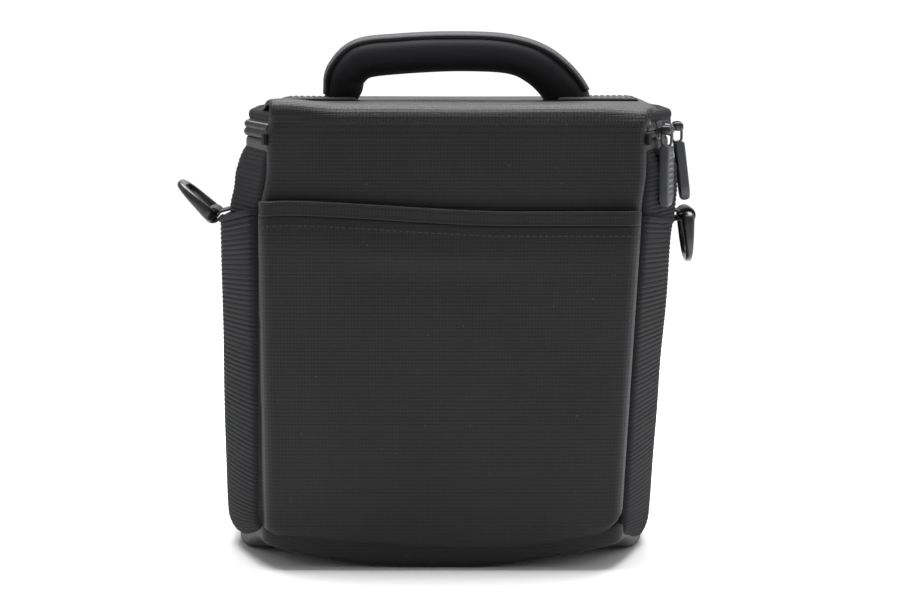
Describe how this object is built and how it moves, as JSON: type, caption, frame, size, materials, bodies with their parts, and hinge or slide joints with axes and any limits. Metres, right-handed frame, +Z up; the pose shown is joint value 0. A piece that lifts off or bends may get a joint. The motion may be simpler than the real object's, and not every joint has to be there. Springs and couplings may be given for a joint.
{
  "type": "camera bag",
  "caption": "Small padded camera bag with front-hinged zip lid, padded top handle, front and side slip pockets, strap rings and a movable divider.",
  "frame": {"origin": "centre of the base, on the surface the bag stands on", "axes": "+X to the bag's right seen from the front, -Y out of the front pocket, +Z up"},
  "size_m": [0.2316, 0.1288, 0.2222],
  "materials": {
    "black_ripstop": "matte ribbed woven nylon",
    "binding": "matte woven tape",
    "foam": "closed-cell foam",
    "lining": "brushed nylon lining",
    "board": "matte",
    "coil": "satin",
    "slider_metal": "satin",
    "wire": "satin",
    "pull_rubber": "matte moulded",
    "ring_plastic": "satin moulded",
    "grip_cloth": "smooth matte",
    "strap_webbing": "woven webbing",
    "hook_tape": "hook and loop tape"
  },
  "bodies": {
    "bag": {"base_panel": "black_ripstop", "base_board": "board", "base_foam": "foam", "floor_liner": "lining", "front_panel": "black_ripstop", "back_panel": "black_ripstop", "left_panel": "black_ripstop", "right_panel": "black_ripstop", "front_foam": "foam", "back_foam": "foam", "left_foam": "foam", "right_foam": "foam", "front_liner": "lining", "back_liner": "lining", "left_liner": "lining", "right_liner": "lining", "front_pocket_panel": "black_ripstop", "front_pocket_gusset": "black_ripstop", "front_pocket_hem": "binding", "left_pocket_panel": "black_ripstop", "right_pocket_panel": "black_ripstop", "left_pocket_hem": "binding", "right_pocket_hem": "binding", "body_zip_tape": "binding", "body_zip_chain": "coil", "zip_end_tab_left": "binding", "zip_end_tab_right": "binding", "left_ring_tab": "strap_webbing", "right_ring_tab": "strap_webbing"},
    "lid": {"lid_top_panel": "black_ripstop", "lid_foam": "foam", "lid_liner": "lining", "lid_skirt": "black_ripstop", "lid_zip_tape": "binding", "lid_zip_chain": "coil", "handle_tab_left": "strap_webbing", "handle_tab_right": "strap_webbing"},
    "handle": {"handle_grip": "grip_cloth", "handle_core": "foam", "handle_top_strip": "strap_webbing"},
    "front_slider": {"front_slider": "slider_metal"},
    "rear_slider": {"rear_slider": "slider_metal"},
    "front_pull": {"front_pull_loop": "wire", "front_pull": "pull_rubber"},
    "rear_pull": {"rear_pull_loop": "wire", "rear_pull": "pull_rubber"},
    "left_ring": {"left_ring": "ring_plastic"},
    "right_ring": {"right_ring": "ring_plastic"},
    "divider": {"divider_pad": "lining", "divider_front_hook_strip": "hook_tape", "divider_rear_hook_strip": "hook_tape"}
  },
  "joints": [
    {"name": "lid_hinge", "type": "hinge", "parent": "bag", "child": "lid", "pos_m": [0, -0.06, 0.1825], "axis": [1, 0, 0], "range_deg": [0, 180]},
    {"name": "handle_tilt", "type": "hinge", "parent": "lid", "child": "handle", "pos_m": [0.002, 0, 0.194], "axis": [1, 0, 0], "range_deg": [-35, 35]},
    {"name": "front_slider_slide", "type": "slide", "parent": "bag", "child": "front_slider", "axis": [0.3162, 0.9487, 0], "range_m": [-0.006, 0.009]},
    {"name": "rear_slider_slide", "type": "slide", "parent": "bag", "child": "rear_slider", "axis": [0, 1, 0], "range_m": [0, 0.02]},
    {"name": "front_pull_swing", "type": "hinge", "parent": "front_slider", "child": "front_pull", "pos_m": [0.09093, -0.03953, 0.1825], "axis": [-0.3162, -0.9487, 0], "range_deg": [0, 110]},
    {"name": "rear_pull_swing", "type": "hinge", "parent": "rear_slider", "child": "rear_pull", "pos_m": [0.09885, -0.004, 0.1825], "axis": [0, -1, 0], "range_deg": [0, 110]},
    {"name": "left_ring_swing", "type": "hinge", "parent": "bag", "child": "left_ring", "pos_m": [-0.1041, 0.005, 0.1436], "axis": [0, 1, 0], "range_deg": [-127, 38]},
    {"name": "right_ring_swing", "type": "hinge", "parent": "bag", "child": "right_ring", "pos_m": [0.1041, 0.005, 0.1436], "axis": [0, -1, 0], "range_deg": [0, 165]},
    {"name": "divider_slide", "type": "slide", "parent": "bag", "child": "divider", "axis": [1, 0, 0], "range_m": [-0.06, 0.02]}
  ]
}
